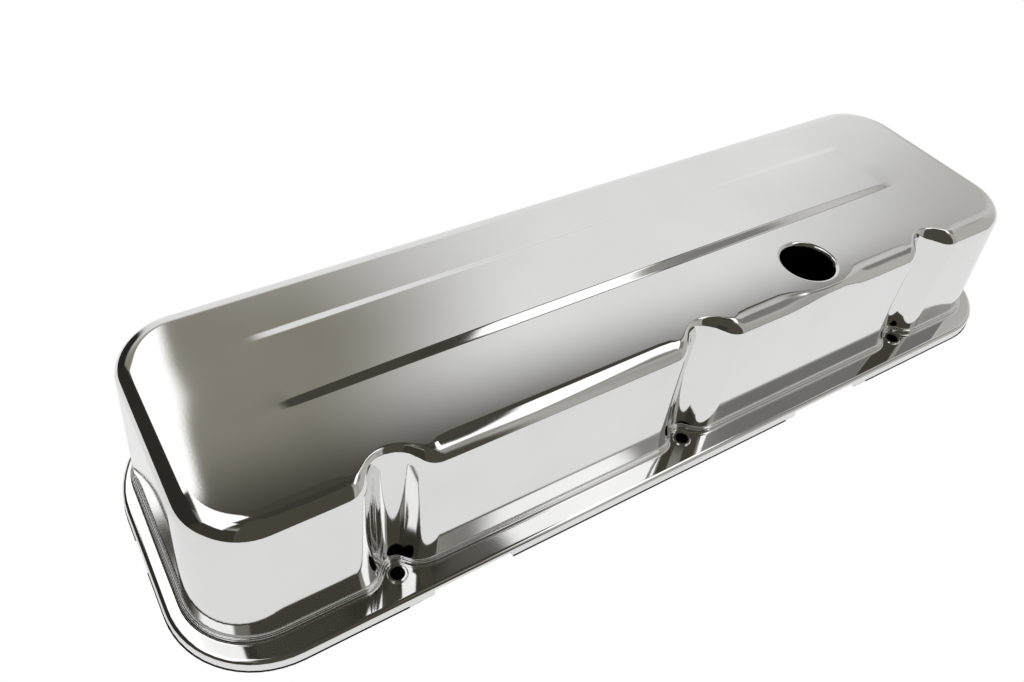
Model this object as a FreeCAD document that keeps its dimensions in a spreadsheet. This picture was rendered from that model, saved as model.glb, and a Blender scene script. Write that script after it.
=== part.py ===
import FreeCAD, Part
import os
import Sketcher
from math import acos, asin, atan2, hypot, pi, radians, tan

# Tall engine valve cover, deep drawn from one sheet of steel and chrome plated.
# The frame is in millimetres: X runs along the cover, Y across it, +Z up.
# The origin is the middle of the sealing lip, at the lowest edge of the lip.
# The three bolt recesses face -Y; the wall of the hidden side is plain and faces +Y.

doc = FreeCAD.newDocument("valve_cover")

# Driving dimensions
SIZES = {
    "sheet_thickness": 1.1,
    "wall_length": 504.4,
    "wall_width": 131.7,
    "wall_corner": 31.0,
    "top_height": 83.2,
    "top_bend": 11.8,
    "flange_end": 10.3,
    "flange_side": 14.15,
    "lip_height": 6.5,
    "lip_near_corner": 42.0,
    "lip_far_corner": 57.0,
    "lip_bend": 2.5,
    "ledge_width": 3.0,
    "ledge_rise": 3.1,
    "recess_depth": 12.2,
    "recess_back_width": 12.0,
    "recess_flare_deg": 36.0,
    "recess_corner": 10.0,
    "recess_bend": 7.0,
    "recess_reach": 2,
    "near_bolts": 3,
    "near_row_left_end": 86.2,
    "near_row_right_end": 80.2,
    "near_bolt_inset": 14.1,
    "far_bolts": 4,
    "far_row_end": 60.2,
    "far_bolt_inset": 6.5,
    "bolt_hole": 7.0,
    "bolt_ring": 9.4,
    "bolt_ring_rise": 0.7,
    "panel_end": 47.2,
    "panel_near_side": 50.65,
    "panel_far_side": 33.45,
    "panel_rise": 2.3,
    "panel_slope": 4.0,
    "panel_bend": 1.5,
    "panel_fade": 26.0,
    "breather_bore": 29.0,
    "breather_from_end": 165.2,
    "breather_inset": 22.35,
    "breather_roll": 1.3,
    "breather_collar_depth": 6.0,
    "boss_radius": 20.5,
    "boss_depth": 8.0,
    "boss_root": 2.0,
    "boss_left_gap": 34.0,
    "boss_right_gap": 59.0,
    "tab_gap_rise": 4.0,
    "tab_gap_end_width": 10.0,
    "tab_gap_end_shift": 1.0,
    "tab_gap_left_width": 42.0,
    "tab_gap_left_from_end": 119.2,
    "tab_gap_right_width": 49.0,
    "tab_gap_right_from_end": 151.2,
}

sheet = doc.addObject("Spreadsheet::Sheet", "Sizes")
for row, (name, value) in enumerate(SIZES.items(), start=1):
    sheet.set(f"A{row}", name)
    sheet.set(f"B{row}", str(value))
    sheet.setAlias(f"B{row}", name)
doc.recompute()

body = doc.addObject("PartDesign::Body", "cover_shell")
body.Label = "cover_shell"

UP = FreeCAD.Vector(0, 0, 1)
NEAR_ZERO = 0.001


def origin_part(role):
    """Plane or axis of the body's own origin, found by its role."""
    return next(part for part in body.Origin.OriginFeatures if part.Role == role)


def measure(expression):
    """Number that an expression on the sheet gives now."""
    return float(sheet.evalExpression(expression))


def new_sketch(name, height, turn=0, plane="XY_Plane"):
    """Sketch on an origin plane, moved off it by an expression and turned in degrees."""
    sketch = body.newObject("Sketcher::SketchObject", name)
    sketch.AttachmentSupport = [(origin_part(plane), "")]
    sketch.MapMode = "FlatFace"
    turned = FreeCAD.Rotation(FreeCAD.Vector(0, 0, 1), turn)
    sketch.AttachmentOffset = FreeCAD.Placement(FreeCAD.Vector(), turned)
    sketch.setExpression(".AttachmentOffset.Base.z", height)
    return sketch


def tie(sketch, kind, geometry, point, expression):
    """Distance of a point from the sketch's origin, along X or Y."""
    number = sketch.addConstraint(
        Sketcher.Constraint(kind, -1, 1, geometry, point, measure(expression)))
    sketch.setExpression(f"Constraints[{number}]", expression)


def join(sketch, kind, first, first_end, second, second_end):
    """Tangent or coincident joint between the ends of two curves."""
    sketch.addConstraint(Sketcher.Constraint(kind, first, first_end, second, second_end))


def hold_radius(sketch, arc, expression):
    """Radius of an arc or circle, tied to the sheet."""
    number = sketch.addConstraint(Sketcher.Constraint("Radius", arc, measure(expression)))
    sketch.setExpression(f"Constraints[{number}]", expression)


def draw_outline(sketch, corners):
    """Closed outline of straight lines, each corner placed by two expressions."""
    points = [FreeCAD.Vector(measure(across), measure(along), 0) for across, along in corners]
    lines = [
        sketch.addGeometry(Part.LineSegment(start, end), False)
        for start, end in zip(points, points[1:] + points[:1])
    ]
    for line, following in zip(lines, lines[1:] + lines[:1]):
        join(sketch, "Coincident", line, 2, following, 1)
    for line, (x_place, y_place) in zip(lines, corners):
        tie(sketch, "DistanceX", line, 1, x_place)
        tie(sketch, "DistanceY", line, 1, y_place)


def draw_rounded_rectangle(sketch, length, width, near_radius, far_radius, middle=("0", "0")):
    """Rectangle with round corners; the two near -Y may differ from the two far ones."""
    left, right = f"{middle[0]} - ({length}) / 2", f"{middle[0]} + ({length}) / 2"
    near, far = f"{middle[1]} - ({width}) / 2", f"{middle[1]} + ({width}) / 2"
    sides = []
    arcs = []
    turns = [(right, near, 1, -1, near_radius), (right, far, 1, 1, far_radius),
             (left, far, -1, 1, far_radius), (left, near, -1, -1, near_radius)]
    centres = [
        FreeCAD.Vector(measure(x) - x_side * measure(radius),
                       measure(y) - y_side * measure(radius), 0)
        for x, y, x_side, y_side, radius in turns
    ]
    for number, (centre, turn) in enumerate(zip(centres, turns)):
        radius = measure(turn[4])
        start_angle = (number - 1) * pi / 2
        arc = Part.ArcOfCircle(Part.Circle(centre, UP, radius), start_angle, start_angle + pi / 2)
        arcs.append(sketch.addGeometry(arc, False))
    for number in range(len(turns)):
        start = sketch.getPoint(arcs[number - 1], 2)
        end = sketch.getPoint(arcs[number], 1)
        sides.append(sketch.addGeometry(Part.LineSegment(start, end), False))
    for number, side in enumerate(sides):
        join(sketch, "Tangent", arcs[number - 1], 2, side, 1)
        join(sketch, "Tangent", side, 2, arcs[number], 1)
        hold_radius(sketch, arcs[number], turns[number][4])
    for side in (sides[0], sides[2]):
        sketch.addConstraint(Sketcher.Constraint("Horizontal", side))
    for side in (sides[1], sides[3]):
        sketch.addConstraint(Sketcher.Constraint("Vertical", side))
    tie(sketch, "DistanceY", sides[0], 1, near)
    tie(sketch, "DistanceX", sides[1], 1, right)
    tie(sketch, "DistanceY", sides[2], 1, far)
    tie(sketch, "DistanceX", sides[3], 1, left)


def draw_rectangle(sketch, length, width, middle):
    """Rectangle about a middle point."""
    left, right = f"{middle[0]} - {length} / 2", f"{middle[0]} + {length} / 2"
    near, far = f"{middle[1]} - {width} / 2", f"{middle[1]} + {width} / 2"
    draw_outline(sketch, [(left, near), (right, near), (right, far), (left, far)])


def draw_circle(sketch, diameter, middle):
    """Circle placed by two expressions."""
    centre = FreeCAD.Vector(measure(middle[0]), measure(middle[1]), 0)
    circle = sketch.addGeometry(Part.Circle(centre, UP, measure(diameter) / 2), False)
    hold_radius(sketch, circle, f"({diameter}) / 2")
    tie(sketch, "DistanceX", circle, 3, middle[0])
    tie(sketch, "DistanceY", circle, 3, middle[1])


def extrude(kind, name, sketch, length, downward=False):
    """Pad or pocket of a sketch, with its length tied to the sheet."""
    feature = body.newObject(f"PartDesign::{kind}", name)
    feature.Profile = sketch
    feature.Type = "Length"
    feature.setExpression("Length", length)
    feature.Reversed = downward if kind == "Pad" else not downward
    doc.recompute()
    return feature


def repeat(name, feature, count, pitch):
    """Row of copies of one feature along the cover."""
    row = body.newObject("PartDesign::LinearPattern", name)
    row.Originals = [feature]
    row.Direction = (origin_part("X_Axis"), [""])
    row.setExpression("Length", f"{pitch} * ({count} - 1)")
    row.setExpression("Occurrences", count)
    body.Tip = row
    doc.recompute()
    return row


def round_edges(name, radius, wanted):
    """Fillet on each edge of the body that passes a test."""
    tip = body.Tip
    edges = [f"Edge{n}" for n, edge in enumerate(tip.Shape.Edges, start=1) if wanted(edge)]
    fillet = body.newObject("PartDesign::Fillet", name)
    fillet.Base = (tip, edges)
    fillet.setExpression("Radius", radius)
    doc.recompute()
    return fillet


def is_upright(edge):
    """True for an edge that runs straight up."""
    box = edge.BoundBox
    return box.XLength + box.YLength < NEAR_ZERO < box.ZLength


def lies_at(edge, height):
    """True for an edge that is level at this height."""
    box = edge.BoundBox
    return box.ZLength < NEAR_ZERO and abs(box.ZMin - height) < NEAR_ZERO


def is_brow(edge, height):
    """True for a level edge at this height with a face that drops away from it."""
    return lies_at(edge, height) and any(
        face.BoundBox.ZMin < height - NEAR_ZERO
        for face in body.Tip.Shape.ancestorsOfType(edge, Part.Face))

# Lip and flange: a slab as wide as the lip, before it is hollowed
LIP_LENGTH = "(Sizes.wall_length + 2 * Sizes.flange_end)"
LIP_WIDTH = "(Sizes.wall_width + 2 * Sizes.flange_side)"
lip_sketch = new_sketch("lip_outline", "0")
draw_rounded_rectangle(lip_sketch, LIP_LENGTH, LIP_WIDTH,
                       "Sizes.lip_near_corner", "Sizes.lip_far_corner")
extrude("Pad", "lip_slab", lip_sketch, "Sizes.lip_height")

# Ledge: a low step on the flange that runs round the foot of the wall
LEDGE_TOP = "Sizes.lip_height + Sizes.ledge_rise"
ledge_sketch = new_sketch("ledge_outline", "Sizes.lip_height")
LEDGE_CORNER = "Sizes.wall_corner + Sizes.ledge_width"
draw_rounded_rectangle(ledge_sketch, "Sizes.wall_length + 2 * Sizes.ledge_width",
                       "Sizes.wall_width + 2 * Sizes.ledge_width", LEDGE_CORNER, LEDGE_CORNER)
extrude("Pad", "ledge", ledge_sketch, "Sizes.ledge_rise")


def draw_recess(sketch, middle, margin):
    """Flared bolt recess that opens to +Y; the margin is how far it stands off the wall's own."""
    flare = "Sizes.recess_flare_deg"
    back = f"Sizes.wall_width / 2 - Sizes.recess_depth + ({margin})"
    reach = "Sizes.recess_depth * Sizes.recess_reach"
    round_off = f"Sizes.recess_corner - ({margin})"
    back_half = f"Sizes.recess_back_width / 2 + ({margin}) * (tan({flare}) - 1 / cos({flare}))"
    mouth_half = f"{back_half} + {reach} * tan({flare})"
    centre_x, back_y, half = measure(middle), measure(back), measure(back_half)
    radius, slope, mouth = measure(round_off), radians(measure(flare)), measure(mouth_half)
    set_back = radius * tan(pi / 4 - slope / 2)
    arcs = []
    for side, start, end in ((-1, pi + slope, 1.5 * pi), (1, 1.5 * pi, 2 * pi - slope)):
        centre = FreeCAD.Vector(centre_x + side * (half - set_back), back_y + radius, 0)
        arcs.append(sketch.addGeometry(
            Part.ArcOfCircle(Part.Circle(centre, UP, radius), start, end), False))
    mouth_y = back_y + measure(reach)
    mouth_left = FreeCAD.Vector(centre_x - mouth, mouth_y, 0)
    mouth_right = FreeCAD.Vector(centre_x + mouth, mouth_y, 0)
    left = sketch.addGeometry(Part.LineSegment(mouth_left, sketch.getPoint(arcs[0], 1)), False)
    floor = sketch.addGeometry(
        Part.LineSegment(sketch.getPoint(arcs[0], 2), sketch.getPoint(arcs[1], 1)), False)
    right = sketch.addGeometry(Part.LineSegment(sketch.getPoint(arcs[1], 2), mouth_right), False)
    lid = sketch.addGeometry(Part.LineSegment(mouth_right, mouth_left), False)
    for first, first_end, second, second_end in (
            (left, 2, arcs[0], 1), (arcs[0], 2, floor, 1),
            (floor, 2, arcs[1], 1), (arcs[1], 2, right, 1)):
        join(sketch, "Tangent", first, first_end, second, second_end)
    join(sketch, "Coincident", right, 2, lid, 1)
    join(sketch, "Coincident", lid, 2, left, 1)
    sketch.addConstraint(Sketcher.Constraint("Horizontal", floor))
    for arc in arcs:
        hold_radius(sketch, arc, round_off)
    tie(sketch, "DistanceY", floor, 1, back)
    tie(sketch, "DistanceX", left, 1, f"{middle} - ({mouth_half})")
    tie(sketch, "DistanceY", left, 1, f"{back} + {reach}")
    tie(sketch, "DistanceX", right, 2, f"{middle} + ({mouth_half})")
    tie(sketch, "DistanceY", right, 2, f"{back} + {reach}")
    trim = f"({round_off}) * tan(45 - {flare} / 2)"
    tie(sketch, "DistanceX", floor, 1, f"{middle} - ({back_half}) + {trim}")
    tie(sketch, "DistanceX", floor, 2, f"{middle} + ({back_half}) - {trim}")


NEAR_TURN = 180
FAR_TURN = 0


def bolt_row(turn, count, left_end, right_end):
    """Place of a row's first bolt in a sketch with that turn, and the row's pitch."""
    from_middle = f"(Sizes.wall_length / 2 - {left_end})"
    place = f"-1 * {from_middle}" if turn == FAR_TURN else from_middle
    pitch = f"(Sizes.wall_length - {left_end} - {right_end}) / ({count} - 1)"
    return place, pitch


# The near row has the recesses; its sketches are turned so that it faces their +Y
near_first, near_pitch = bolt_row(
    NEAR_TURN, "Sizes.near_bolts", "Sizes.near_row_left_end", "Sizes.near_row_right_end")

notch_sketch = new_sketch("ledge_notch_outline", LEDGE_TOP, NEAR_TURN)
draw_recess(notch_sketch, near_first, "Sizes.ledge_width")
notch = extrude("Pocket", "ledge_notch", notch_sketch, "Sizes.ledge_rise", downward=True)
repeat("ledge_notches", notch, "Sizes.near_bolts", near_pitch)

wall_face = measure("Sizes.wall_width / 2")
straight_end = measure("Sizes.wall_length / 2 - Sizes.wall_corner")


def stands_on_side(edge, face_y):
    """True for an upright edge on the straight stretch of a long side at this distance."""
    box = edge.BoundBox
    on_face = abs(abs(box.YMin) - face_y) < NEAR_ZERO
    return is_upright(edge) and on_face and abs(box.XMin) < straight_end - NEAR_ZERO


ledge_face = measure("Sizes.wall_width / 2 + Sizes.ledge_width")
round_edges("ledge_shoulders", "Sizes.recess_bend + Sizes.ledge_width",
            lambda edge: stands_on_side(edge, ledge_face))

# Wall and top
wall_sketch = new_sketch("wall_outline", LEDGE_TOP)
draw_rounded_rectangle(wall_sketch, "Sizes.wall_length", "Sizes.wall_width",
                       "Sizes.wall_corner", "Sizes.wall_corner")
extrude("Pad", "wall_block", wall_sketch, f"Sizes.top_height - ({LEDGE_TOP})")
top_height = measure("Sizes.top_height")
round_edges("top_bend_edges", "Sizes.top_bend", lambda edge: lies_at(edge, top_height))

recess_sketch = new_sketch("recess_outline", "Sizes.top_height", NEAR_TURN)
draw_recess(recess_sketch, near_first, "0")
recess = extrude("Pocket", "recess", recess_sketch,
                 f"Sizes.top_height - ({LEDGE_TOP})", downward=True)
repeat("recesses", recess, "Sizes.near_bolts", near_pitch)

ledge_top = measure(LEDGE_TOP)
bend_foot = measure("Sizes.top_height - Sizes.top_bend")
recess_depth = measure("Sizes.recess_depth")
recess_width = measure(
    "Sizes.recess_back_width + 2 * Sizes.recess_reach * Sizes.recess_depth")


def rims_a_recess(edge):
    """True for the chain of edges up one side of a recess, round its back and down again."""
    box = edge.BoundBox
    if is_upright(edge):
        return stands_on_side(edge, wall_face) and box.ZMax > ledge_top + NEAR_ZERO
    crosses = NEAR_ZERO < box.XLength < recess_width
    in_the_bend = box.ZMax > bend_foot + NEAR_ZERO
    cut_into = wall_face - abs(box.Center.y) < recess_depth + NEAR_ZERO
    return crosses and in_the_bend and cut_into


round_edges("recess_rims", "Sizes.recess_bend", rims_a_recess)


def draw_ogee(sketch, foot, brow, radius):
    """Rise from a level foot to a level brow: arc, slope and arc. Gives its three curves."""
    foot_x, foot_y = measure(foot[0]), measure(foot[1])
    run, rise, bend = measure(brow[0]) - foot_x, measure(brow[1]) - foot_y, measure(radius)
    side = 1 if run > 0 else -1
    reach = hypot(run, rise - 2 * bend)
    slope = atan2(rise - 2 * bend, abs(run)) + asin(2 * bend / reach)
    low_centre = FreeCAD.Vector(foot_x, foot_y + bend, 0)
    high_centre = FreeCAD.Vector(foot_x + run, foot_y + rise - bend, 0)
    if side > 0:
        low_arc = Part.ArcOfCircle(Part.Circle(low_centre, UP, bend), 1.5 * pi, 1.5 * pi + slope)
        high_arc = Part.ArcOfCircle(Part.Circle(high_centre, UP, bend), 0.5 * pi, 0.5 * pi + slope)
    else:
        low_arc = Part.ArcOfCircle(Part.Circle(low_centre, UP, bend), 1.5 * pi - slope, 1.5 * pi)
        high_arc = Part.ArcOfCircle(Part.Circle(high_centre, UP, bend), 0.5 * pi - slope, 0.5 * pi)
    low = sketch.addGeometry(low_arc, False)
    high = sketch.addGeometry(high_arc, False)
    foot_end, low_end = (1, 2) if side > 0 else (2, 1)
    ramp = sketch.addGeometry(
        Part.LineSegment(sketch.getPoint(low, low_end), sketch.getPoint(high, low_end)), False)
    join(sketch, "Tangent", low, low_end, ramp, 1)
    join(sketch, "Tangent", ramp, 2, high, low_end)
    for arc, end, place in ((low, foot_end, foot), (high, foot_end, brow)):
        hold_radius(sketch, arc, radius)
        sketch.addConstraint(Sketcher.Constraint("Vertical", arc, 3, arc, end))
        tie(sketch, "DistanceX", arc, end, place[0])
        tie(sketch, "DistanceY", arc, end, place[1])
    return (low, foot_end), (high, foot_end)


def draw_chain(sketch, start, corners, finish):
    """Straight lines from one curve's end through placed corners to another curve's end."""
    points = [sketch.getPoint(*start)]
    points += [FreeCAD.Vector(measure(across), measure(up), 0) for across, up in corners]
    points += [sketch.getPoint(*finish)]
    lines = [sketch.addGeometry(Part.LineSegment(a, b), False)
             for a, b in zip(points, points[1:])]
    join(sketch, "Coincident", *start, lines[0], 1)
    for line, following in zip(lines, lines[1:]):
        join(sketch, "Coincident", line, 2, following, 1)
    join(sketch, "Coincident", lines[-1], 2, *finish)
    for line, (across, up) in zip(lines, corners):
        tie(sketch, "DistanceX", line, 2, across)
        tie(sketch, "DistanceY", line, 2, up)


# Boss for the breather hole: it carries the level top out over the bend
HOLE_X = "(Sizes.wall_length / 2 - Sizes.breather_from_end)"
HOLE_Y = "(Sizes.breather_inset - Sizes.wall_width / 2)"
LAST_BOLT = "(Sizes.wall_length / 2 - Sizes.near_row_right_end)"
BOSS_ENDS = [f"{LAST_BOLT} - ({near_pitch}) + Sizes.boss_left_gap",
             f"{LAST_BOLT} - Sizes.boss_right_gap"]
BOSS_BACK = "-1 * (Sizes.wall_width / 2 - Sizes.top_bend) + Sizes.boss_root"
boss_sketch = new_sketch("boss_outline", "Sizes.top_height")
hole_centre = FreeCAD.Vector(measure(HOLE_X), measure(HOLE_Y), 0)
boss_radius = measure("Sizes.boss_radius")
boss_ends = [FreeCAD.Vector(measure(end), measure(BOSS_BACK), 0) for end in BOSS_ENDS]
swings = []
for side, end in zip((-1, 1), boss_ends):
    away = end - hole_centre
    swings.append(atan2(away.y, away.x) - side * acos(boss_radius / away.Length))
boss_arc = boss_sketch.addGeometry(
    Part.ArcOfCircle(Part.Circle(hole_centre, UP, boss_radius), swings[0], swings[1]), False)
left_flank = boss_sketch.addGeometry(
    Part.LineSegment(boss_ends[0], boss_sketch.getPoint(boss_arc, 1)), False)
right_flank = boss_sketch.addGeometry(
    Part.LineSegment(boss_sketch.getPoint(boss_arc, 2), boss_ends[1]), False)
boss_line = boss_sketch.addGeometry(Part.LineSegment(boss_ends[1], boss_ends[0]), False)
join(boss_sketch, "Tangent", left_flank, 2, boss_arc, 1)
join(boss_sketch, "Tangent", boss_arc, 2, right_flank, 1)
join(boss_sketch, "Coincident", right_flank, 2, boss_line, 1)
join(boss_sketch, "Coincident", boss_line, 2, left_flank, 1)
hold_radius(boss_sketch, boss_arc, "Sizes.boss_radius")
tie(boss_sketch, "DistanceX", boss_arc, 3, HOLE_X)
tie(boss_sketch, "DistanceY", boss_arc, 3, HOLE_Y)
tie(boss_sketch, "DistanceX", left_flank, 1, BOSS_ENDS[0])
tie(boss_sketch, "DistanceY", left_flank, 1, BOSS_BACK)
tie(boss_sketch, "DistanceX", right_flank, 2, BOSS_ENDS[1])
tie(boss_sketch, "DistanceY", right_flank, 2, BOSS_BACK)
extrude("Pad", "breather_boss", boss_sketch, "Sizes.boss_depth", downward=True)

# Raised panel along the middle of the top; its long steps fade out at both ends
PANEL_TOP = "Sizes.top_height + Sizes.panel_rise"
PANEL_NEAR = "(Sizes.panel_near_side - Sizes.wall_width / 2)"
PANEL_FAR = "(Sizes.wall_width / 2 - Sizes.panel_far_side)"
PANEL_HALF = "(Sizes.wall_length / 2 - Sizes.panel_end)"
panel_section = new_sketch("panel_section", "0", plane="YZ_Plane")
near_foot, near_brow = draw_ogee(
    panel_section,
    (PANEL_NEAR, "Sizes.top_height"), (f"{PANEL_NEAR} + Sizes.panel_slope", PANEL_TOP),
    "Sizes.panel_bend")
far_foot, far_brow = draw_ogee(
    panel_section,
    (PANEL_FAR, "Sizes.top_height"), (f"{PANEL_FAR} - Sizes.panel_slope", PANEL_TOP),
    "Sizes.panel_bend")
draw_chain(panel_section, near_brow, [], far_brow)
PANEL_ROOT = "Sizes.top_height - Sizes.sheet_thickness"
draw_chain(panel_section, far_foot, [(PANEL_FAR, PANEL_ROOT), (PANEL_NEAR, PANEL_ROOT)],
           near_foot)
panel = body.newObject("PartDesign::Pad", "panel")
panel.Profile = panel_section
panel.SideType = "Symmetric"
panel.setExpression("Length", f"2 * {PANEL_HALF}")
doc.recompute()

panel_ends = new_sketch("panel_end_outline", "0", plane="XZ_Plane")
ramp_top = f"{PANEL_TOP} + Sizes.panel_rise"
for side in ("-1", "1"):
    ramp_foot = f"{side} * {PANEL_HALF}"
    ramp_head = f"{side} * ({PANEL_HALF} - Sizes.panel_fade)"
    beyond = f"{side} * ({PANEL_HALF} + Sizes.panel_slope)"
    draw_outline(panel_ends, [
        (ramp_foot, "Sizes.top_height"), (ramp_head, PANEL_TOP),
        (ramp_head, ramp_top), (beyond, ramp_top), (beyond, "Sizes.top_height")])
fade = body.newObject("PartDesign::Pocket", "panel_fade")
fade.Profile = panel_ends
fade.Type = "Length"
fade.SideType = "Symmetric"
fade.setExpression("Length", "2 * Sizes.wall_width")
doc.recompute()

# Round bend between the lip and the flange
lip_height = measure("Sizes.lip_height")
round_edges("lip_bend", "Sizes.lip_bend", lambda edge: is_brow(edge, lip_height))

# Hollow: the whole form becomes one sheet, open below
solid_form = body.Tip
underside = [f"Face{n}" for n, face in enumerate(solid_form.Shape.Faces, start=1)
             if face.BoundBox.ZMax < NEAR_ZERO]
hollow = body.newObject("PartDesign::Thickness", "hollow")
hollow.Base = (solid_form, underside)
hollow.setExpression("Value", "Sizes.sheet_thickness")
hollow.Reversed = True
hollow.Mode = "Skin"
hollow.Join = "Intersection"
doc.recompute()

# Breather hole: the sheet is turned down round it as a collar
collar_sketch = new_sketch("breather_collar_outline", "Sizes.top_height")
draw_circle(collar_sketch, "Sizes.breather_bore + 2 * Sizes.sheet_thickness", (HOLE_X, HOLE_Y))
extrude("Pad", "breather_collar", collar_sketch, "Sizes.breather_collar_depth", downward=True)
bore_sketch = new_sketch("breather_bore_outline", "Sizes.top_height")
draw_circle(bore_sketch, "Sizes.breather_bore", (HOLE_X, HOLE_Y))
extrude("Pocket", "breather_hole", bore_sketch, "Sizes.breather_collar_depth", downward=True)
bore = measure("Sizes.breather_bore")
round_edges("breather_roll", "Sizes.breather_roll",
            lambda edge: lies_at(edge, top_height)
            and abs(edge.BoundBox.XLength - bore) < NEAR_ZERO)

# Low raised rings round the near row's holes
NEAR_LINE = f"{LIP_WIDTH} / 2 - Sizes.near_bolt_inset"
ring_sketch = new_sketch("bolt_ring_outline", "Sizes.lip_height", NEAR_TURN)
draw_circle(ring_sketch, "Sizes.bolt_ring", (near_first, NEAR_LINE))
ring = extrude("Pad", "bolt_ring", ring_sketch, "Sizes.bolt_ring_rise")
repeat("bolt_rings", ring, "Sizes.near_bolts", near_pitch)

# Bolt holes in the flange: name, turn, place of the first, pitch, count and distance across
far_first, far_pitch = bolt_row(
    FAR_TURN, "Sizes.far_bolts", "Sizes.far_row_end", "Sizes.far_row_end")
FAR_LINE = f"{LIP_WIDTH} / 2 - Sizes.far_bolt_inset"
for side_name, turn, first, pitch, count, line in (
        ("near", NEAR_TURN, near_first, near_pitch, "Sizes.near_bolts", NEAR_LINE),
        ("far", FAR_TURN, far_first, far_pitch, "Sizes.far_bolts", FAR_LINE)):
    bolt_sketch = new_sketch(
        f"{side_name}_bolt_hole_outline", "Sizes.lip_height + Sizes.bolt_ring_rise", turn)
    draw_circle(bolt_sketch, "Sizes.bolt_hole", (first, line))
    bolt_hole = extrude("Pocket", f"{side_name}_bolt_hole", bolt_sketch,
                        "Sizes.bolt_ring_rise + 2 * Sizes.sheet_thickness", downward=True)
    repeat(f"{side_name}_bolt_holes", bolt_hole, count, pitch)

# Gaps in the lip for the tabs of the gasket
gap_sketch = new_sketch("tab_gap_outline", "0")
LIP_CUT = "4 * Sizes.sheet_thickness"
for side in ("-1", "1"):
    for end, width, from_end in (
            ("-1", "Sizes.tab_gap_left_width", "Sizes.tab_gap_left_from_end"),
            ("1", "Sizes.tab_gap_right_width", "Sizes.tab_gap_right_from_end")):
        along = f"{end} * (Sizes.wall_length / 2 - {from_end})"
        draw_rectangle(gap_sketch, width, LIP_CUT, (along, f"{side} * {LIP_WIDTH} / 2"))
    draw_rectangle(gap_sketch, LIP_CUT, "Sizes.tab_gap_end_width",
                   (f"{side} * {LIP_LENGTH} / 2", "Sizes.tab_gap_end_shift"))
extrude("Pocket", "tab_gaps", gap_sketch, "Sizes.tab_gap_rise")

doc.recompute()
for item in doc.Objects:
    if "Invalid" in item.State or "Error" in item.State:
        raise RuntimeError(f"{item.Name} failed: {item.State}")
if body.Shape.isNull() or not body.Shape.isValid():
    raise RuntimeError(f"{body.Name} has no valid solid")
os.makedirs("parts", exist_ok=True)
body.Shape.exportStep(f"parts/{body.Label}.step")
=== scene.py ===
# Scene of a tall engine valve cover, pressed from steel sheet and chrome plated, that stands
# on its sealing lip on a pale floor in a plain studio. Lengths are in metres.
import math

import bpy
import numpy as np
from mathutils import Euler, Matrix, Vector
from mathutils.geometry import delaunay_2d_cdt


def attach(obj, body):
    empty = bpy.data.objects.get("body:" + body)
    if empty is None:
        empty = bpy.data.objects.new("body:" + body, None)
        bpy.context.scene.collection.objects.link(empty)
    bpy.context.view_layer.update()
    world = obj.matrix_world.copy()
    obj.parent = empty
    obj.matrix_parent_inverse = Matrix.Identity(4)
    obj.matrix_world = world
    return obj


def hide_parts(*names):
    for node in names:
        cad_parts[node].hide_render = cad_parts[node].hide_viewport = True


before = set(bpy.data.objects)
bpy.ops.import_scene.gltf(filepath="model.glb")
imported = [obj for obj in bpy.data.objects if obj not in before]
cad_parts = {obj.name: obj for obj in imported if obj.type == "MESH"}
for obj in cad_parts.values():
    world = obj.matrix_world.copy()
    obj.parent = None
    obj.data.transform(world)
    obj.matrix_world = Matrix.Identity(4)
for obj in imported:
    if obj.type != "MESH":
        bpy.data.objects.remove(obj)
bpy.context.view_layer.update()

# The valve cover: one sheet of steel, deep drawn in a die, trimmed and chrome plated. Its
# wall stands on a flange with a turned-down lip, and dips in round each bolt of the flange.
# The outer face of the sheet is modelled first, and the inner face follows it.
MM = 0.001
TURN_STEP = math.radians(6)
LINE_STEP = 7 * MM
ON_LINE = 0.01 * MM


def smooth(low, high, value):
    """0 below low, 1 above high and an even S-curve between them."""
    share = np.clip((value - low) / (high - low), 0, 1)
    return share * share * (3 - 2 * share)


def outline(corners, stops=()):
    """Points round a polygon with (x, y, radius) corners, and the directions that face out.

    Stops are (x, y) places on its straight stretches that get a point of their own.
    """
    place = np.array([(x, y) for x, y, _ in corners])
    radius = np.array([r for _, _, r in corners])
    ahead = np.roll(place, -1, axis=0) - place
    ahead /= np.linalg.norm(ahead, axis=1)[:, None]
    behind = np.roll(ahead, 1, axis=0)
    turn = np.arctan2(np.cross(behind, ahead), (behind * ahead).sum(1))
    trim = radius * np.tan(abs(turn) / 2)
    points, outward = [], []
    for k in range(len(corners)):
        side = np.sign(turn[k])
        away = np.array([behind[k, 1], -behind[k, 0]])
        centre = place[k] - behind[k] * trim[k] - away * side * radius[k]
        start_angle = math.atan2(away[1], away[0])
        steps = max(3, math.ceil(abs(turn[k]) / TURN_STEP))
        for angle in start_angle + turn[k] * np.arange(steps + 1) / steps:
            away = np.array([math.cos(angle), math.sin(angle)])
            points.append(centre + away * side * radius[k])
            outward.append(away)
        following = (k + 1) % len(corners)
        start = place[k] + ahead[k] * trim[k]
        run = place[following] - ahead[k] * trim[following] - start
        length = np.linalg.norm(run)
        parts = max(1, math.ceil(length / LINE_STEP))
        shares = {n / parts for n in range(1, parts)}
        for stop in stops:
            share = (np.array(stop) - start) @ run / length ** 2
            gap = np.linalg.norm(start + run * share - stop)
            if gap < ON_LINE and 0 < share < 1:
                shares.add(float(share))
        for share in sorted(shares):
            points.append(start + run * share)
            outward.append(away)
    return np.array(points), np.array(outward)


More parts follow.
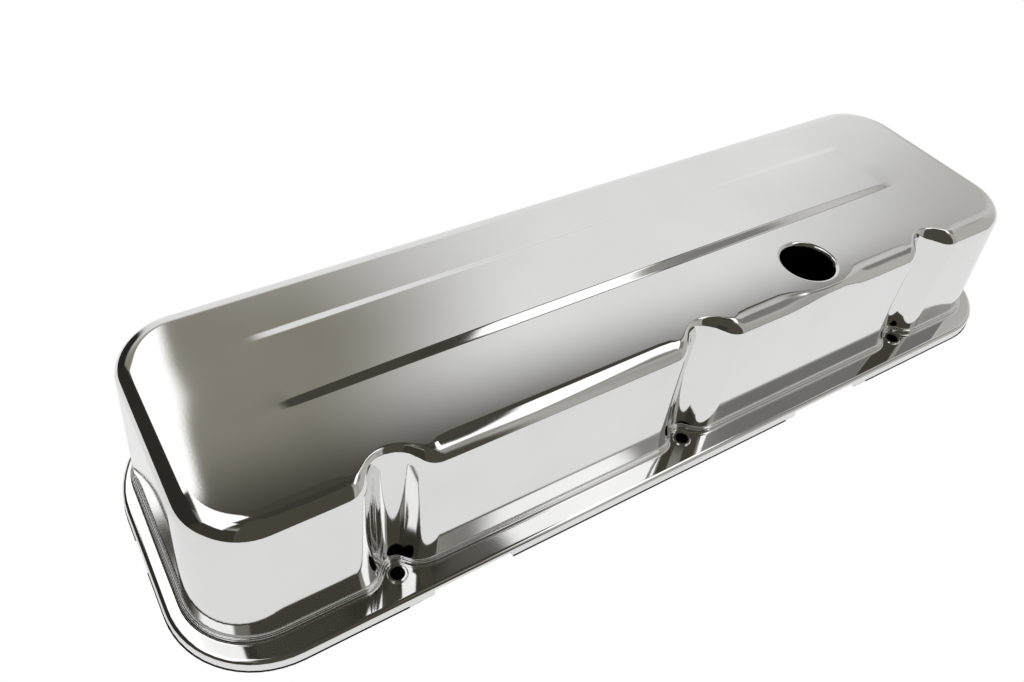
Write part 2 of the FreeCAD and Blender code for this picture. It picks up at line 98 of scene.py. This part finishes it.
class Skin:
    """Outer face of the sheet: places, directions that face out, and faces."""

    def __init__(self):
        self.places, self.directions, self.faces = [], [], []

    def add(self, places, directions):
        """Adds a row of points and gives their numbers."""
        first = len(self.places)
        self.places.extend(np.asarray(places, float))
        self.directions.extend(np.asarray(directions, float))
        return list(range(first, len(self.places)))

    def join(self, row, following, leave_out=()):
        """Quads between two closed rows of points."""
        for k, (a, b) in enumerate(zip(row, following)):
            c, d = following[(k + 1) % len(row)], row[(k + 1) % len(row)]
            if k not in leave_out:
                self.faces.append(self.facing_out([a, d, c, b]))

    def facing_out(self, corners):
        """The corners in the order that makes the face look outwards."""
        a, b, c = (self.places[n] for n in corners[:3])
        outward = sum(self.directions[n] for n in corners)
        return corners if np.cross(b - a, c - a) @ outward > 0 else corners[::-1]

    def loft(self, points, outward, stations, room=1.0):
        """Closed rows along an outline, one for each (offset, height, tilt) station.

        Room is the share of the offset that each point of the outline has space for.
        """
        rows = []
        room = np.broadcast_to(room, len(points))[:, None]
        for offset, height, tilt in stations:
            places = np.column_stack([points + outward * offset * room,
                                      np.full(len(points), height)])
            leans = np.column_stack([outward * math.cos(tilt),
                                     np.full(len(points), math.sin(tilt))])
            rows.append(self.add(places, leans))
        for row, following in zip(rows, rows[1:]):
            self.join(row, following)
        return rows

    def fill(self, outer, holes, inner=()):
        """Triangles inside a closed row, round closed rows as holes, through inner points."""
        loops = [outer, *holes]
        numbers = [n for loop in loops for n in loop] + list(inner)
        flat = np.array([self.places[n][:2] for n in numbers]) / MM
        edges, first = [], 0
        for loop in loops:
            edges += [(first + k, first + (k + 1) % len(loop)) for k in range(len(loop))]
            first += len(loop)
        made = delaunay_2d_cdt([Vector(p) for p in flat], edges, [], 0, 1e-6, True)
        known = [numbers[sources[0]] for sources in made[3]]
        where = np.array([p[:] for p in made[0]])
        triangles = np.array(made[2])
        middle = where[triangles].mean(1)
        inside = np.zeros(len(middle), int)
        for a, b in edges:
            (x0, y0), (x1, y1) = flat[a], flat[b]
            spans = (y0 > middle[:, 1]) != (y1 > middle[:, 1])
            if y0 != y1:
                crossing = x0 + (middle[:, 1] - y0) * (x1 - x0) / (y1 - y0)
                inside += spans & (crossing > middle[:, 0])
        for triangle in triangles[inside % 2 == 1]:
            self.faces.append(self.facing_out([known[n] for n in triangle]))

    def sheet(self, name, thickness):
        """Mesh of the sheet: the outer face, the inner face and the cut edges."""
        outer = np.array(self.places)
        facing = np.array(self.directions)
        facing /= np.linalg.norm(facing, axis=1)[:, None]
        count = len(outer)
        places = np.vstack([outer, outer - facing * thickness])
        faces = [list(f) for f in self.faces]
        corners = [facing[n] for f in faces for n in f]
        for f in self.faces:
            faces.append([n + count for n in f[::-1]])
            corners += [-facing[n] for n in f[::-1]]
        used = {(a, b) for f in self.faces for a, b in zip(f, f[1:] + f[:1])}
        for a, b in sorted(used):
            if (b, a) not in used:
                faces.append([b, a, a + count, b + count])
                across = np.cross(places[a] - places[b], places[a + count] - places[a])
                corners += [across / np.linalg.norm(across)] * 4
        mesh = bpy.data.meshes.new(name)
        mesh.from_pydata([tuple(p) for p in places], [], faces)
        mesh.polygons.foreach_set("use_smooth", [True] * len(faces))
        mesh.normals_split_custom_set([tuple(c) for c in corners])
        return mesh


cover = Skin()

# Lip and bend of the flange: the sheet is turned down all round, and the lip has gaps for the
# tabs of the gasket, two along each side and one at each end.
NEAR, FAR = -1, 1
LEFT, RIGHT = -1, 1
LIP_END = 262.5 * MM
LIP_SIDE = 80 * MM
LIP_HEIGHT = 6.5 * MM
LIP_BEND = 2.5 * MM
LIP_BEND_STEPS = 7
LIP_CORNER = {NEAR: 46 * MM, FAR: 57 * MM}
GAPS_ALONG = [(-154 * MM, -112 * MM), (76.5 * MM, 125.5 * MM)]
GAP_ACROSS = (-4 * MM, 6 * MM)
QUARTER = math.pi / 2


def arc_stations(offset, height, across, up, first, last, steps):
    """Stations round an arc: its centre, its two radii and its first and last tilt."""
    for tilt in np.linspace(first, last, steps + 1):
        yield offset + across * math.cos(tilt), height + up * math.sin(tilt), tilt


lip_stops = [(x, side * LIP_SIDE) for gap in GAPS_ALONG for x in gap for side in (NEAR, FAR)]
lip_stops += [(end * LIP_END, y) for y in GAP_ACROSS for end in (LEFT, RIGHT)]
lip_points, lip_outward = outline([
    (-LIP_END, -LIP_SIDE, LIP_CORNER[NEAR]), (LIP_END, -LIP_SIDE, LIP_CORNER[NEAR]),
    (LIP_END, LIP_SIDE, LIP_CORNER[FAR]), (-LIP_END, LIP_SIDE, LIP_CORNER[FAR])], lip_stops)
lip_foot = cover.loft(lip_points, lip_outward, [(0, 0, 0)])[0]
bend_rows = cover.loft(lip_points, lip_outward, list(arc_stations(
    -LIP_BEND, LIP_HEIGHT - LIP_BEND, LIP_BEND, LIP_BEND, 0, QUARTER, LIP_BEND_STEPS)))
lip_gaps = set()
for k, point in enumerate(lip_points):
    middle = (point + lip_points[(k + 1) % len(lip_points)]) / 2
    along = any(a < middle[0] < b for a, b in GAPS_ALONG) and abs(middle[1]) > LIP_SIDE - MM
    across = GAP_ACROSS[0] < middle[1] < GAP_ACROSS[1]
    if along or across:
        lip_gaps.add(k)
cover.join(lip_foot, bend_rows[0], lip_gaps)

# Foot of the wall: three recesses on the side of the breather hole leave room for the bolts,
# and the other side is plain. A narrow ledge steps down from the wall to the flange.
WALL_END = 252.2 * MM
WALL_SIDE = 65.85 * MM
WALL_CORNER = 31 * MM
BOLTS = {NEAR: [-166 * MM, 3 * MM, 172 * MM],
         FAR: [-192 * MM, -64 * MM, 64 * MM, 192 * MM]}
RECESS_DEPTH = 11.8 * MM
RECESS_BACK = 4.9 * MM
RECESS_FLARE = math.radians(42)
RECESS_CORNER = 10.9 * MM
RECESS_SHOULDER = 14 * MM
RECESS_EDGE = (14 * MM, 32 * MM)
RECESS_FOOT_SHARE = 0.8
WALL_LEAN = 1.6 * MM
LEDGE_TOP = 9.6 * MM
LEDGE_WIDTH = 1.4 * MM
LEDGE_CROWN = 0.7 * MM
LEDGE_FOOT = 1.0 * MM
LEDGE_CLEAR = 0.3 * MM
LEDGE_LEAST = 0.05
LEDGE_STEPS = 5
WALL_FOOT = 0.7 * MM
WALL_FOOT_TILT = math.radians(3)


def recess(middle):
    """Corners of one recess, in the order that runs round the wall."""
    mouth = RECESS_BACK + RECESS_DEPTH * math.tan(RECESS_FLARE)
    back = RECESS_DEPTH - WALL_SIDE
    return [(middle - mouth, -WALL_SIDE, RECESS_SHOULDER),
            (middle - RECESS_BACK, back, RECESS_CORNER),
            (middle + RECESS_BACK, back, RECESS_CORNER),
            (middle + mouth, -WALL_SIDE, RECESS_SHOULDER)]


def inside_lip(points):
    """Distance from each point to the lip's outline."""
    corner = np.where(points[:, 1] < 0, LIP_CORNER[NEAR], LIP_CORNER[FAR])
    from_corner = abs(points) - (LIP_END, LIP_SIDE) + corner[:, None]
    beyond = np.linalg.norm(np.maximum(from_corner, 0), axis=1)
    return corner - beyond - np.minimum(from_corner.max(1), 0)


wall_corners = [c for x in BOLTS[NEAR] for c in recess(x)]
wall_corners += [(WALL_END, -WALL_SIDE, WALL_CORNER), (WALL_END, WALL_SIDE, WALL_CORNER),
                 (-WALL_END, WALL_SIDE, WALL_CORNER), (-WALL_END, -WALL_SIDE, WALL_CORNER)]
wall_points, wall_outward = outline(wall_corners)
on_near = wall_points[:, 1] < 0
from_bolts = wall_points[:, :1] - BOLTS[NEAR]
nearest = abs(from_bolts).argmin(1)
from_bolt = from_bolts[np.arange(len(nearest)), nearest]
in_recess = on_near * (1 - smooth(*RECESS_EDGE, abs(from_bolt)))
foot_points = wall_points + wall_outward * WALL_LEAN
foot_points[:, 0] -= from_bolt * (1 - RECESS_FOOT_SHARE) * in_recess
foot_points[:, 1] -= (wall_points[:, 1] + WALL_SIDE) * (1 - RECESS_FOOT_SHARE) * in_recess
# At the far corners the lip comes so near that the ledge fades into the wall.
ledge_room = inside_lip(foot_points) - LIP_BEND - LEDGE_CLEAR
ledge_room = np.clip(ledge_room / (LEDGE_WIDTH + LEDGE_FOOT + LEDGE_CLEAR), LEDGE_LEAST, 1)
foot_rows = cover.loft(foot_points, wall_outward, [
    *arc_stations(LEDGE_WIDTH + LEDGE_FOOT, LIP_HEIGHT + LEDGE_FOOT, -LEDGE_FOOT, -LEDGE_FOOT,
                  QUARTER, 0, LEDGE_STEPS),
    *arc_stations(LEDGE_WIDTH - LEDGE_CROWN, LEDGE_TOP - LEDGE_CROWN, LEDGE_CROWN, LEDGE_CROWN,
                  0, QUARTER, LEDGE_STEPS),
    *arc_stations(WALL_FOOT, LEDGE_TOP + WALL_FOOT, -WALL_FOOT, -WALL_FOOT,
                  QUARTER, WALL_FOOT_TILT, LEDGE_STEPS)],
    ledge_room)

# Bolt holes: punched through the flange, one in front of each recess and four on the far
# side. The near ones have a ring pressed up round them.
RING = 4.7 * MM
RING_RISE = 0.7 * MM
BOLT_HOLE = 3.5 * MM
BOLT_LINE = {NEAR: -65.9 * MM, FAR: 73.5 * MM}
BOLT_HOLE_POINTS = 48
RING_PROFILE = [
    (RING + RING_RISE / 2, LIP_HEIGHT, QUARTER),
    (RING + RING_RISE / 4, LIP_HEIGHT + RING_RISE / 8, math.radians(60)),
    (RING, LIP_HEIGHT + RING_RISE / 2, math.radians(45)),
    (RING - RING_RISE / 4, LIP_HEIGHT + RING_RISE * 7 / 8, math.radians(60)),
    (RING - RING_RISE / 2, LIP_HEIGHT + RING_RISE, QUARTER),
    (BOLT_HOLE, LIP_HEIGHT + RING_RISE, QUARTER)]
PLAIN_PROFILE = [(BOLT_HOLE, LIP_HEIGHT, QUARTER)]


def circle(count):
    """Directions that face out, in even steps all the way round."""
    turn = np.arange(count) / count * 2 * math.pi
    return np.column_stack([np.cos(turn), np.sin(turn)])


bolt_outward = circle(BOLT_HOLE_POINTS)
bolt_edges = []
for side, profile in ((NEAR, RING_PROFILE), (FAR, PLAIN_PROFILE)):
    for x in BOLTS[side]:
        centre = np.full_like(bolt_outward, (x, BOLT_LINE[side]))
        bolt_edges.append(cover.loft(centre, bolt_outward, profile)[0])
cover.fill(bend_rows[-1], [foot_rows[0], *bolt_edges])

# Brow of the wall, where it bends into the top: a wide round that tightens at each recess and
# at the boss of the breather hole. Both ends lean in to it, the right one more.
RIGHT_LEAN = 7 * MM
RIGHT_LEAN_SPAN = (60 * MM, 250 * MM)
LEFT_LEAN = 2.5 * MM
LEFT_LEAN_SPAN = (150 * MM, 250 * MM)
TOP = 83.2 * MM
BROW_REACH = 10 * MM
BROW_DROP = 8.2 * MM
RIM_REACH = 3.4 * MM
RIM_DROP = 9.8 * MM
RIM_REACH_FADE = (3 * MM, 26 * MM)
RIM_DROP_FADE = (4 * MM, 16 * MM)
BOSS_REACH = 3.2 * MM
BOSS_DROP = 6 * MM
BOSS_START = (52 * MM, 80 * MM)
BOSS_STOP = (94 * MM, 112 * MM)
BROW_STEPS = 16
brow_points = wall_points.copy()
brow_points[:, 0] -= RIGHT_LEAN * smooth(*RIGHT_LEAN_SPAN, wall_points[:, 0])
brow_points[:, 0] += LEFT_LEAN * smooth(*LEFT_LEAN_SPAN, -wall_points[:, 0])
off_recess = np.where(on_near, abs(from_bolt), WALL_END)
reach = RIM_REACH + (BROW_REACH - RIM_REACH) * smooth(*RIM_REACH_FADE, off_recess)
drop = RIM_DROP + (BROW_DROP - RIM_DROP) * smooth(*RIM_DROP_FADE, off_recess)
on_boss = (on_near * smooth(*BOSS_START, wall_points[:, 0])
           * (1 - smooth(*BOSS_STOP, wall_points[:, 0])))
reach += (BOSS_REACH - reach) * on_boss
drop += (BOSS_DROP - drop) * on_boss
brow_places = []
for tilt in np.linspace(0, QUARTER, BROW_STEPS + 1):
    flat = brow_points - wall_outward * (reach * (1 - math.cos(tilt)))[:, None]
    brow_places.append(np.column_stack([flat, TOP - drop * (1 - math.sin(tilt))]))
brow_places = np.array(brow_places)
onward = np.roll(brow_places, -1, axis=1) - np.roll(brow_places, 1, axis=1)
brow_outward = np.cross(onward, np.gradient(brow_places, axis=0))
brow_outward /= np.linalg.norm(brow_outward, axis=2)[:, :, None]
brow_outward[-1] = (0, 0, 1)

# Face of the wall, from the ledge up to the brow: it is straight from foot to brow, but in a
# recess it stands nearly upright and flares out only close to its foot.
FOOT_FLARE = 4
WALL_STEPS = 12
wall_run = ((foot_points - brow_points) * wall_outward).sum(1)
foot_places = np.array([cover.places[n] for n in foot_rows[-1]])
run_across = foot_places[:, :2] - brow_places[0][:, :2]
wall_rows = []
for share in np.arange(WALL_STEPS + 1) / WALL_STEPS:
    to_go = 1 - share
    run_left = to_go * (1 - in_recess) + to_go ** FOOT_FLARE * in_recess
    steep = 1 - in_recess + FOOT_FLARE * to_go ** (FOOT_FLARE - 1) * in_recess
    places = foot_places * to_go + brow_places[0] * share
    places[:, :2] = brow_places[0][:, :2] + run_across * run_left[:, None]
    tilt = np.arctan2(wall_run * steep, TOP - drop - LEDGE_TOP)
    wall_rows.append((places, np.column_stack([wall_outward * np.cos(tilt)[:, None],
                                               np.sin(tilt)])))
for n, lean in zip(foot_rows[-1], wall_rows[0][1]):
    cover.directions[n] = lean
brow_outward[0] = wall_rows[-1][1]
rising_rows = [foot_rows[-1]]
rising_rows += [cover.add(*row) for row in wall_rows[1:-1]]
rising_rows += [cover.add(*row) for row in zip(brow_places, brow_outward)]
for row, following in zip(rising_rows, rising_rows[1:]):
    cover.join(row, following)

# Breather hole: it is punched in the top, and its edge is rolled down into a short collar
# that a cap or a grommet is pushed into.
HOLE = (87 * MM, -43.5 * MM)
BORE = 14.5 * MM
ROLL = 1.9 * MM
ROLL_STEPS = 8
COLLAR_FOOT = TOP - 6 * MM
HOLE_POINTS = 96
hole_inward = -circle(HOLE_POINTS)
collar = cover.loft(np.full_like(hole_inward, HOLE), hole_inward, [
    *arc_stations(-BORE - ROLL, TOP - ROLL, ROLL, ROLL, QUARTER, 0, ROLL_STEPS),
    (-BORE, COLLAR_FOOT, 0)])

# Panel along the middle of the top: it is pressed up between two long steps to stiffen the
# sheet. It rises slowly from both ends, and its two steps start and stop short.
PANEL_ENDS = (-236 * MM, 228 * MM)
PANEL_RAMP = 160 * MM
PANEL_SIDES = (-15.2 * MM, 32.4 * MM)
PANEL_RISE = 1.87 * MM
STEP_ENDS = (-196 * MM, 190 * MM)
STEP_FADE = 10 * MM
STEP_WIDTH = 5 * MM
SOFT_WIDTH = 23 * MM
SOFT_SHARE = 0.2
LINE_SPACING = 4 * MM
STEP_LINES = 11
MIDDLE_LINES = 16
PROBE = 0.05 * MM


def slope(value):
    """0 below 0, 1 above 1 and a straight slope with soft ends between them."""
    end = np.clip(value - (1 - SOFT_SHARE), 0, SOFT_SHARE)
    return (np.clip(value, 0, SOFT_SHARE) ** 2 / (2 * SOFT_SHARE)
            + np.clip(value - SOFT_SHARE, 0, 1 - 2 * SOFT_SHARE)
            + end - end ** 2 / (2 * SOFT_SHARE)) / (1 - SOFT_SHARE)


def between(ends, fade, value):
    """1 between the ends and 0 outside them, with a soft change over the fade."""
    return smooth(ends[0], ends[0] + fade, value) * smooth(-ends[1], fade - ends[1], -value)


def across_sides(width, y):
    """Share of the panel's height where its sides are that wide."""
    return slope((y - PANEL_SIDES[0]) / width) * slope((PANEL_SIDES[1] - y) / width)


def panel_rise(x, y):
    """Height of the panel over the rest of the top."""
    sharp = between(STEP_ENDS, STEP_FADE, x)
    sides = sharp * across_sides(STEP_WIDTH, y) + (1 - sharp) * across_sides(SOFT_WIDTH, y)
    return PANEL_RISE * between(PANEL_ENDS, PANEL_RAMP, x) * sides


step_lines = np.linspace(0, STEP_WIDTH, STEP_LINES)
middle_lines = np.linspace(PANEL_SIDES[0] + STEP_WIDTH, PANEL_SIDES[1] - STEP_WIDTH,
                           MIDDLE_LINES)[1:-1]
panel_ys = np.concatenate([PANEL_SIDES[0] + step_lines, middle_lines,
                           PANEL_SIDES[1] - step_lines[::-1]])
xs, ys = np.meshgrid(np.arange(*PANEL_ENDS, LINE_SPACING), panel_ys)
xs, ys = xs.ravel(), ys.ravel()
lean_x = (panel_rise(xs - PROBE, ys) - panel_rise(xs + PROBE, ys)) / (2 * PROBE)
lean_y = (panel_rise(xs, ys - PROBE) - panel_rise(xs, ys + PROBE)) / (2 * PROBE)
panel = cover.add(np.column_stack([xs, ys, TOP + panel_rise(xs, ys)]),
                  np.column_stack([lean_x, lean_y, np.ones(len(xs))]))
cover.fill(rising_rows[-1], [collar[0]], panel)

# The finished sheet: the inner face follows the outer one at an even thickness, and the cut
# edges show at the lip, the bolt holes and the collar.
SHEET = 1.1 * MM
shell = bpy.data.objects.new("cover_skin", cover.sheet("cover_skin", SHEET))
bpy.context.scene.collection.objects.link(shell)
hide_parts("cover_shell")
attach(shell, "root")

# Chrome plate: bright and nearly mirror smooth, with the faint orange peel of the sheet below
# it and a slight haze that is a little stronger in some places than in others.


class Wire:
    """A value in a material; sums and products of it add Math nodes."""

    def __init__(self, tree, socket=None):
        self.tree = tree
        self.socket = socket

    def node(self, kind, settings=None, values=None, output=0):
        """New node with its settings, then the values or links of its sockets."""
        made = self.tree.nodes.new(kind)
        for name, setting in (settings or {}).items():
            setattr(made, name, setting)
        for name, value in (values or {}).items():
            if isinstance(value, Wire):
                self.tree.links.new(value.socket, made.inputs[name])
            else:
                made.inputs[name].default_value = value
        return Wire(self.tree, made.outputs[output] if made.outputs else None)

    def math(self, operation, *values):
        return self.node("ShaderNodeMath", {"operation": operation}, dict(enumerate(values)))

    def __add__(self, other):
        return self.math("ADD", self, other)

    def __sub__(self, other):
        return self.math("SUBTRACT", self, other)

    def __rsub__(self, other):
        return self.math("SUBTRACT", other, self)

    def __mul__(self, other):
        return self.math("MULTIPLY", self, other)

    __radd__ = __add__
    __rmul__ = __mul__

    def rise(self, low, high):
        """0 below low, 1 above high and an even S-curve between them."""
        return self.node("ShaderNodeMapRange", {"interpolation_type": "SMOOTHSTEP"},
                         {"Value": self, "From Min": low, "From Max": high})

    def band(self, low, high, fade):
        """1 between low and high and 0 outside them, with a soft change over the fade."""
        return self.rise(low, low + fade) * (1 - self.rise(high - fade, high))

    def mix(self, first, second):
        """Colour between two colours, by this value."""
        return self.node("ShaderNodeMix", {"data_type": "RGBA"}, {0: self, 6: first, 7: second}, 2)


def material(name):
    """New material without nodes, and a wire to build them with."""
    made = bpy.data.materials.new(name)
    made.use_nodes = True
    made.node_tree.nodes.clear()
    return made, Wire(made.node_tree)


chrome, plate = material("chrome_plate")
place = plate.node("ShaderNodeTexCoord", output="Object")
peel = plate.node("ShaderNodeTexNoise", {}, {"Vector": place, "Scale": 900.0, "Detail": 2.0})
haze = plate.node("ShaderNodeTexNoise", {}, {"Vector": place, "Scale": 14.0, "Detail": 3.0})
normal = plate.node("ShaderNodeBump", {}, {"Height": peel, "Strength": 0.012, "Distance": 0.0001})
bright = haze.rise(0.3, 0.7).mix((0.76, 0.76, 0.755, 1), (0.8, 0.8, 0.795, 1))
surface = plate.node("ShaderNodeBsdfPrincipled", {}, {
    "Base Color": bright, "Metallic": 1.0, "Roughness": haze * 0.05 + 0.03, "Normal": normal})
plate.node("ShaderNodeOutputMaterial", {}, {"Surface": surface})
shell.data.materials.append(chrome)

# Floor: a pale, matt studio table. The patch under the cover is painted near black to stand in for
# the cover's shade, and its edge just past the lip is a thin painted contact shadow; under the
# gaps of the lip the painted shade stops short, so the pale table shows there.
TABLE_LEFT, TABLE_RIGHT = -1.0, 1.0
TABLE_FRONT, TABLE_BACK = -0.32, 0.4
# Width of the painted contact shadow outside the lip, and how far inside the lip the painted shade
# stops under its gaps.
PAINTED_SHADOW_RIM = 0.4 * MM
GAP_SHADE_MARGIN = -6 * MM
DISPLAY_POWER = 2.2
WARM_SHARES = (0.45, 0.15, -0.6)


def grey(level, warmth=0.0):
    """Linear colour of a screen grey from 0 to 255, made a little yellow by the warmth."""
    shades = [((level + warmth * share) / 255) ** DISPLAY_POWER for share in WARM_SHARES]
    return (*shades, 1)


# Edge of the painted shade: 0.4 mm outside the lip it is a thin painted contact shadow, and under
# each gap of the lip it stops 6 mm inside.
painted_shade_margin = np.full((len(lip_points), 1), PAINTED_SHADOW_RIM)
for k in lip_gaps:
    painted_shade_margin[[k, (k + 1) % len(painted_shade_margin)]] = GAP_SHADE_MARGIN
painted_shade_edge = lip_points + lip_outward * painted_shade_margin
to_edge = np.minimum(np.where(painted_shade_edge[:, 0] < 0, TABLE_LEFT, TABLE_RIGHT) / painted_shade_edge[:, 0],
                     np.where(painted_shade_edge[:, 1] < 0, TABLE_FRONT, TABLE_BACK) / painted_shade_edge[:, 1])
around = len(painted_shade_edge)
floor_mesh = bpy.data.meshes.new("floor")
floor_mesh.from_pydata(
    [(x, y, 0) for x, y in np.vstack([painted_shade_edge, painted_shade_edge * to_edge[:, None]])], [],
    [(k, around + k, around + (k + 1) % around, (k + 1) % around) for k in range(around)]
    + [tuple(range(around))])
floor = bpy.data.objects.new("floor", floor_mesh)
bpy.context.scene.collection.objects.link(floor)
table, board = material("pale_table")
seen = board.node("ShaderNodeLightPath", output="Is Camera Ray")
mirrored = board.node("ShaderNodeLightPath", output="Is Glossy Ray")
matt = board.node("ShaderNodeBsdfDiffuse", {}, {"Color": (0.8, 0.8, 0.8, 1)})
white = board.node("ShaderNodeEmission", {}, {"Color": (1, 1, 1, 1), "Strength": 1.0})
pale = board.node("ShaderNodeEmission", {}, {"Color": grey(240), "Strength": 1.0})
shown = board.node("ShaderNodeMixShader", {}, {0: seen, 1: matt, 2: white})
shown = board.node("ShaderNodeMixShader", {}, {0: mirrored, 1: shown, 2: pale})
board.node("ShaderNodeOutputMaterial", {}, {"Surface": shown})
floor_mesh.materials.append(table)
# Painted shade: the patch under the cover gets a near-black colour that stands in for the shade
# there.
painted_shade, painted_shade_nodes = material("painted_shade_table")
painted_shade_bsdf = painted_shade_nodes.node("ShaderNodeBsdfDiffuse", {}, {"Color": (0.03, 0.03, 0.03, 1)})
painted_shade_nodes.node("ShaderNodeOutputMaterial", {}, {"Surface": painted_shade_bsdf})
floor_mesh.materials.append(painted_shade)
floor_mesh.polygons[-1].material_index = 1

# Studio: soft panels round the table and overhead, which the chrome mirrors. Azimuths run from
# +X, the right end of the cover, towards +Y behind it. A panel that reaches past 180 degrees
# has no soft edge there. Heights are measured where a panel faces the table squarely.
PANELS = [  # faces, from and to azimuth, from and to height, fade across and up, grey, warmth
    (60, 14, 110, -90, 70, 24, 10, 216, 0),  # pale wall behind, towards the right
    (60, 50, 140, 30, 90, 22, 16, 120, 13),  # its dim upper part, towards the left
    (86, -10, 150, 50, 90, 16, 6, 62, 8),  # dark ceiling behind
    (-5, -72, 30, -90, 55, 12, 8, 165, 6),  # wall on the right
    (-5, -18, 30, -90, 55, 24, 8, 186, 4),  # its pale part, next to the wall behind
    (-5, -66, -40, -90, 54, 20, 8, 134, 4),  # its dim part, next to the front
    (-5, -44, -4, 34, 55, 8, 4, 116, 2),  # its dim top
    (-100, -128, -64, -90, 90, 4, 10, 66, 10),  # dark wall in front
    (-5, -57, 26, 54, 67, 4, 1.5, 270, 0),  # strip of light over the right wall
    (132, 115, 186, -40, 58, 6, 6, 44, 4),  # dark wall behind, on the left
    (-150, -186, -122, -90, 54, 6, 5, 54, 8),  # dark wall on the left, towards the front
    (100, 92, 128, -90, 28, 6, 5, 40, 2),  # dark opening low behind
    (88, 81.7, 118, 41.5, 54.5, 1.2, 1.5, 270, 0),  # strip of light behind
    (130, 84, 186, 58, 84, 2, 2, 262, 0),  # wide light over the left, behind
    (-170, -186, -146, 48, 78, 6, 2, 262, 0),  # wide light over the left, in front
    (-90, -150, -20, -30, -13.5, 6, 1.5, 60, 4),  # dark ground beyond the table's front edge
]
CEILING_FADE = (50, 66)
REFLECTANCE = 0.78
world = bpy.data.worlds.new("studio")
bpy.context.scene.world = world
world.use_nodes = True
world.node_tree.nodes.clear()
room = Wire(world.node_tree)
ray = room.node("ShaderNodeTexCoord", output="Generated")
parts = room.node("ShaderNodeSeparateXYZ", {}, {0: ray})
ray_x, ray_y, ray_z = (Wire(world.node_tree, s) for s in parts.socket.node.outputs)
DEGREES = math.degrees(1)
azimuth = room.math("ARCTAN2", ray_y, ray_x) * DEGREES
elevation = room.math("ARCSINE", ray_z) * DEGREES
colour = elevation.rise(*CEILING_FADE).mix(grey(140, 6), grey(56, 8))
for facing, left, right, low, high, across, up, level, warmth in PANELS:
    turn = math.radians(facing)
    forward = ray_x * math.cos(turn) + ray_y * math.sin(turn)
    height = room.math("ARCTAN2", ray_z, forward) * DEGREES
    mask = height.band(low, high, up) * azimuth.band(left, right, across)
    colour = mask.mix(colour, grey(level, warmth))
studio = room.node("ShaderNodeBackground", {}, {"Color": colour, "Strength": 1 / REFLECTANCE})
backdrop = room.node("ShaderNodeBackground", {}, {"Color": (1, 1, 1, 1), "Strength": 1.0})
looking = room.node("ShaderNodeLightPath", output="Is Camera Ray")
room.node("ShaderNodeOutputWorld", {}, {"Surface": room.node(
    "ShaderNodeMixShader", {}, {0: looking, 1: studio, 2: backdrop})})

# Camera: a short lens close to the cover, from its near left corner and above.
camera_data = bpy.data.cameras.new("camera")
camera_data.sensor_width = 36.0
camera_data.lens = 31.764
camera_data.shift_x = 0.01229
camera_data.shift_y = -0.02234
camera_data.clip_start = 0.01
camera = bpy.data.objects.new("camera", camera_data)
camera.location = (-0.26635, -0.25726, 0.37841)
camera.rotation_euler = Euler([math.radians(a) for a in (46.1, -5.014, -31.364)])
bpy.context.scene.collection.objects.link(camera)
bpy.context.scene.camera = camera
bpy.context.scene.view_settings.view_transform = "Standard"
